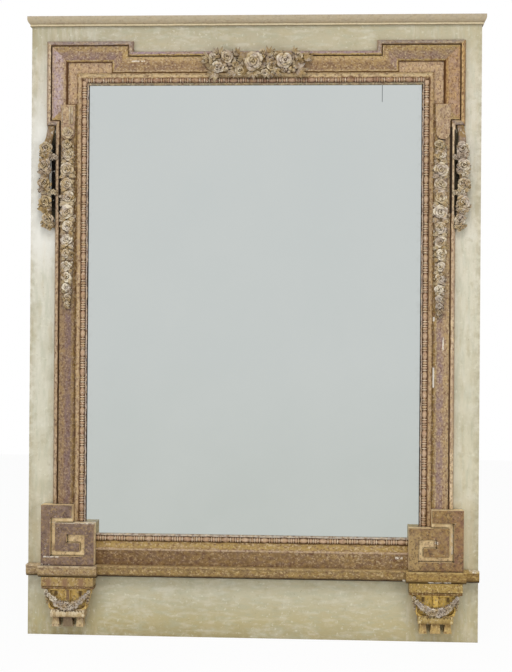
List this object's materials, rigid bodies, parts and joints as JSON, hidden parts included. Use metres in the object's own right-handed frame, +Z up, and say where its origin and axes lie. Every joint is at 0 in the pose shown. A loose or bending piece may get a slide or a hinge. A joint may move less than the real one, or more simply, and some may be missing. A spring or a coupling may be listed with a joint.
{
  "type": "painted overmantel mirror",
  "caption": "Tall painted and part-gilt wall mirror with an eared moulded frame, Greek-key corner blocks, fluted brackets and carved flower drops.",
  "frame": {"origin": "middle of the width, on the wall plane, at the bottom edge of the boards", "axes": "+Z up, +X to the viewer's right, -Y out of the wall towards the viewer"},
  "size_m": [1.396, 0.092, 1.892],
  "materials": {
    "ground_paint": "aged grey-green distemper on pine boards",
    "backing_pine": "bare aged pine",
    "cornice_paint": "aged paint on pine",
    "gilt_wood": "worn gilding on gessoed wood",
    "bead_gilt": "worn gilding over red bole on carved wood",
    "worn_ribbon": "mottled gilding with purple-grey wear",
    "painted_flowers": "lilac-grey painted and part-gilt carving",
    "mirror_glass": "silvered plate glass",
    "forged_iron": "dark forged iron"
  },
  "bodies": {
    "mirror": {"left_stile": "ground_paint", "right_stile": "ground_paint", "top_rail": "ground_paint", "middle_rail": "ground_paint", "bottom_rail": "ground_paint", "lower_panel": "backing_pine", "upper_panel": "backing_pine", "joint_pegs": "backing_pine", "cornice_front": "cornice_paint", "cornice_left_return": "cornice_paint", "cornice_right_return": "cornice_paint", "top_sight": "gilt_wood", "left_sight": "gilt_wood", "right_sight": "gilt_wood", "bottom_sight": "gilt_wood", "ledge_centre": "gilt_wood", "left_key_block": "gilt_wood", "left_ledge_break": "gilt_wood", "left_ledge_end": "gilt_wood", "left_bracket_abacus": "gilt_wood", "left_bracket_body": "gilt_wood", "left_bracket_foot": "gilt_wood", "left_tablet": "gilt_wood", "right_key_block": "gilt_wood", "right_ledge_break": "gilt_wood", "right_ledge_end": "gilt_wood", "right_bracket_abacus": "gilt_wood", "right_bracket_body": "gilt_wood", "right_bracket_foot": "gilt_wood", "right_tablet": "gilt_wood", "top_bead": "bead_gilt", "left_bead": "bead_gilt", "right_bead": "bead_gilt", "bottom_bead": "bead_gilt", "top_ribbon": "worn_ribbon", "bottom_frieze": "worn_ribbon", "left_ear_step": "worn_ribbon", "left_ear_top": "worn_ribbon", "left_ear_side": "worn_ribbon", "left_ear_foot": "worn_ribbon", "left_stile_ribbon": "worn_ribbon", "left_ear_field": "worn_ribbon", "right_ear_step": "worn_ribbon", "right_ear_top": "worn_ribbon", "right_ear_side": "worn_ribbon", "right_ear_foot": "worn_ribbon", "right_stile_ribbon": "worn_ribbon", "right_ear_field": "worn_ribbon", "crest_spray": "painted_flowers", "left_bracket_garland": "painted_flowers", "left_pendant": "painted_flowers", "left_festoon": "painted_flowers", "right_bracket_garland": "painted_flowers", "right_pendant": "painted_flowers", "right_festoon": "painted_flowers", "mirror_plate": "mirror_glass", "hanger_straps": "forged_iron", "hanger_nails": "forged_iron"},
    "left_ring": {"left_ring": "forged_iron"},
    "right_ring": {"right_ring": "forged_iron"}
  },
  "joints": [
    {"name": "left_ring_hinge", "type": "hinge", "parent": "mirror", "child": "left_ring", "pos_m": [-0.43, -0.0074, 1.772], "axis": [1, 0, 0], "range_deg": [0, 180]},
    {"name": "right_ring_hinge", "type": "hinge", "parent": "mirror", "child": "right_ring", "pos_m": [0.43, -0.0074, 1.772], "axis": [1, 0, 0], "range_deg": [0, 180]}
  ]
}
